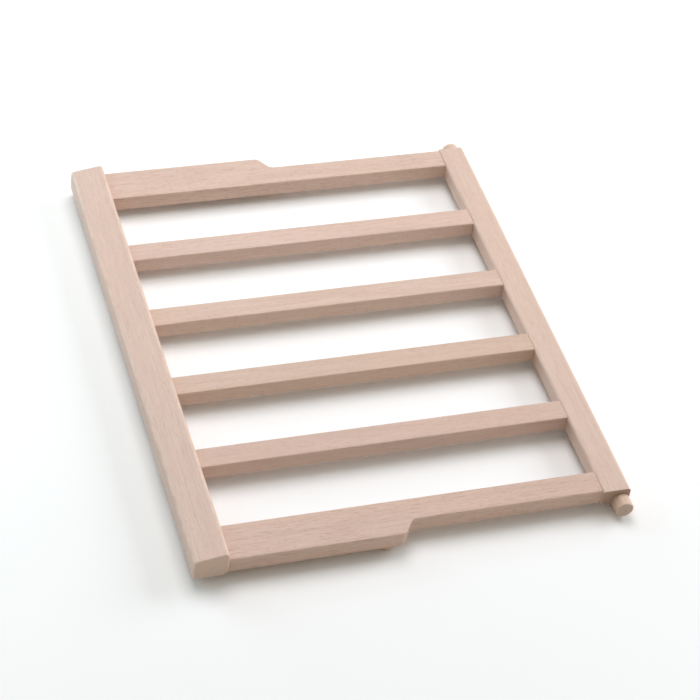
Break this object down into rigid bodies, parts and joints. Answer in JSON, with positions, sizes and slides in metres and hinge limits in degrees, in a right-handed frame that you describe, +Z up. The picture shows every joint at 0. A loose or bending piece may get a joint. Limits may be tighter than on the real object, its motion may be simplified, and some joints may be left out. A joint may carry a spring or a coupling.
{
  "type": "loom swing shelf",
  "caption": "Slatted beech shelf of a weaving loom with a raised front rail, stepped side rails, support pegs and round pivot pins at the rear.",
  "frame": {"origin": "middle of the box, on the surface that the support pegs and the stile's rib stand on", "axes": "+X from the front rail towards the rear stile, +Y along the rails towards the shelf's left side as seen from the front rail, +Z up"},
  "size_m": [0.484, 0.604, 0.0398],
  "materials": {
    "beech_front_rail": "satin",
    "beech_frame": "satin",
    "beech_slats": "satin",
    "beech_pins": "satin",
    "beech_dowels": "raw"
  },
  "bodies": {
    "root": {"front_rail": "beech_front_rail", "rear_stile": "beech_frame", "side_rail_left": "beech_frame", "side_rail_right": "beech_frame", "slat_1": "beech_slats", "slat_2": "beech_slats", "slat_3": "beech_slats", "slat_4": "beech_slats", "pivot_pin_left": "beech_pins", "pivot_pin_right": "beech_pins", "support_peg_left": "beech_pins", "support_peg_right": "beech_pins", "dowel_front_1": "beech_dowels", "dowel_front_2": "beech_dowels", "dowel_front_3": "beech_dowels", "dowel_front_4": "beech_dowels", "dowel_front_left_inner": "beech_dowels", "dowel_front_left_outer": "beech_dowels", "dowel_front_right_inner": "beech_dowels", "dowel_front_right_outer": "beech_dowels", "dowel_rear_1": "beech_dowels", "dowel_rear_2": "beech_dowels", "dowel_rear_3": "beech_dowels", "dowel_rear_4": "beech_dowels", "dowel_rear_left": "beech_dowels", "dowel_rear_right": "beech_dowels"}
  },
  "joints": []
}
